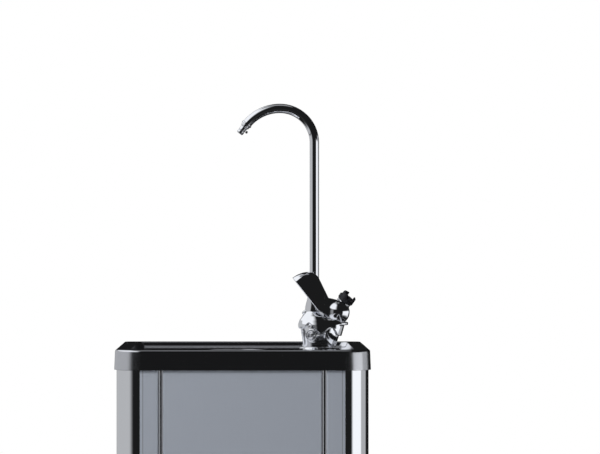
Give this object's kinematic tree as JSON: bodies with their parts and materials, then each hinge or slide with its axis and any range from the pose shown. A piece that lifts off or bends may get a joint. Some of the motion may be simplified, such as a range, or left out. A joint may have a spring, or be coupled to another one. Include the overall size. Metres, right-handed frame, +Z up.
{
  "type": "drinking water fountain",
  "caption": "Free-standing stainless steel drinking water fountain with a pressed basin top, a lever bubbler tap and a tall gooseneck glass filler.",
  "frame": {"origin": "centre of the cabinet's footprint, on the floor under the levelling feet", "axes": "+X to the right as seen from the front, +Y away from the front, +Z up"},
  "size_m": [0.316, 0.316, 1.3085],
  "materials": {
    "back_panel": "satin stainless or zinc coated sheet",
    "base_tray": "satin stainless or zinc coated sheet",
    "body_cap": "bright chrome plate",
    "bubbler_back_nut": "turned brass",
    "bubbler_body": "bright chrome plate",
    "bubbler_feed_tube": "white tube",
    "bubbler_gasket": "matt black",
    "bubbler_valve": "turned brass",
    "cap_screw": "bright chrome plate",
    "cold_tank": "satin stainless or zinc coated sheet",
    "compressor": "black enamel",
    "condenser": "rolled fins",
    "cooling_coil": "drawn copper",
    "drain_pipe": "white moulding",
    "drain_strainer": "bright chrome plate",
    "equipment_shelf": "satin stainless or zinc coated sheet",
    "fan_motor": "black enamel",
    "fan_rotor": "moulded",
    "fan_shroud": "satin stainless or zinc coated sheet",
    "filler_back_nut": "turned brass",
    "filler_body": "bright chrome plate",
    "filler_button": "bright chrome plate",
    "filler_feed_tube": "white tube",
    "filler_gasket": "matt black",
    "filler_valve": "turned brass",
    "front_panel": "satin stainless or zinc coated sheet",
    "gooseneck_gland_nut": "bright chrome plate",
    "gooseneck_tube": "bright chrome plate",
    "inlet_valve": "turned brass",
    "left_joint_trim": "polished stainless",
    "left_side_panel": "satin stainless or zinc coated sheet",
    "levelling_foot_1": "moulded",
    "levelling_foot_2": "moulded",
    "levelling_foot_3": "moulded",
    "levelling_foot_4": "moulded",
    "lever_pin": "bright chrome plate",
    "mouth_guard": "bright chrome plate",
    "nozzle_screw": "bright chrome plate",
    "power_inlet": "moulded",
    "push_lever": "bright chrome plate",
    "right_joint_trim": "polished stainless",
    "right_side_panel": "satin stainless or zinc coated sheet",
    "spout_barrel": "bright chrome plate",
    "spout_ferrule": "bright chrome plate",
    "spout_nozzle": "bright chrome plate",
    "strainer_screw": "bright chrome plate",
    "thermostat": "white moulding",
    "top_frame": "satin stainless or zinc coated sheet",
    "top_tray": "polished stainless",
    "waste_body": "bright chrome plate",
    "waste_nut": "satin stainless or zinc coated sheet",
    "waste_washer": "matt black"
  },
  "bodies": {
    "cabinet": {"back_panel": "back_panel", "base_tray": "base_tray", "body_cap": "body_cap", "bubbler_back_nut": "bubbler_back_nut", "bubbler_body": "bubbler_body", "bubbler_feed_tube": "bubbler_feed_tube", "bubbler_gasket": "bubbler_gasket", "bubbler_valve": "bubbler_valve", "cap_screw": "cap_screw", "cold_tank": "cold_tank", "compressor": "compressor", "condenser": "condenser", "cooling_coil": "cooling_coil", "drain_pipe": "drain_pipe", "drain_strainer": "drain_strainer", "equipment_shelf": "equipment_shelf", "fan_motor": "fan_motor", "fan_shroud": "fan_shroud", "filler_back_nut": "filler_back_nut", "filler_body": "filler_body", "filler_feed_tube": "filler_feed_tube", "filler_gasket": "filler_gasket", "filler_valve": "filler_valve", "front_panel": "front_panel", "gooseneck_gland_nut": "gooseneck_gland_nut", "inlet_valve": "inlet_valve", "left_joint_trim": "left_joint_trim", "left_side_panel": "left_side_panel", "levelling_foot_1": "levelling_foot_1", "levelling_foot_2": "levelling_foot_2", "levelling_foot_3": "levelling_foot_3", "levelling_foot_4": "levelling_foot_4", "lever_pin": "lever_pin", "mouth_guard": "mouth_guard", "power_inlet": "power_inlet", "right_joint_trim": "right_joint_trim", "right_side_panel": "right_side_panel", "spout_barrel": "spout_barrel", "strainer_screw": "strainer_screw", "thermostat": "thermostat", "top_frame": "top_frame", "top_tray": "top_tray", "waste_body": "waste_body", "waste_nut": "waste_nut", "waste_washer": "waste_washer"},
    "lever": {"push_lever": "push_lever"},
    "gooseneck": {"gooseneck_tube": "gooseneck_tube", "spout_ferrule": "spout_ferrule", "spout_nozzle": "spout_nozzle", "nozzle_screw": "nozzle_screw"},
    "filler_push_button": {"filler_button": "filler_button"},
    "fan": {"fan_rotor": "fan_rotor"}
  },
  "joints": [
    {"name": "lever_press", "type": "hinge", "parent": "cabinet", "child": "lever", "pos_m": [0.1166, -0.028, 1.039], "axis": [0, -1, 0], "range_deg": [0, 5], "stiffness_Nm_per_rad": 1.5, "springref_deg": -17.19},
    {"name": "gooseneck_swivel", "type": "hinge", "parent": "cabinet", "child": "gooseneck", "pos_m": [0.0918, 0.02, 1.056], "axis": [0, 0, 1], "range_deg": [-60, 60]},
    {"name": "filler_press", "type": "slide", "parent": "cabinet", "child": "filler_push_button", "axis": [0.5736, 0, -0.8192], "range_m": [0, 0.003], "stiffness_N_per_m": 600, "springref_m": -0.003},
    {"name": "fan_spin", "type": "hinge", "parent": "cabinet", "child": "fan", "pos_m": [0, 0.1228, 0.1118], "axis": [0, 1, 0], "continuous": true}
  ]
}
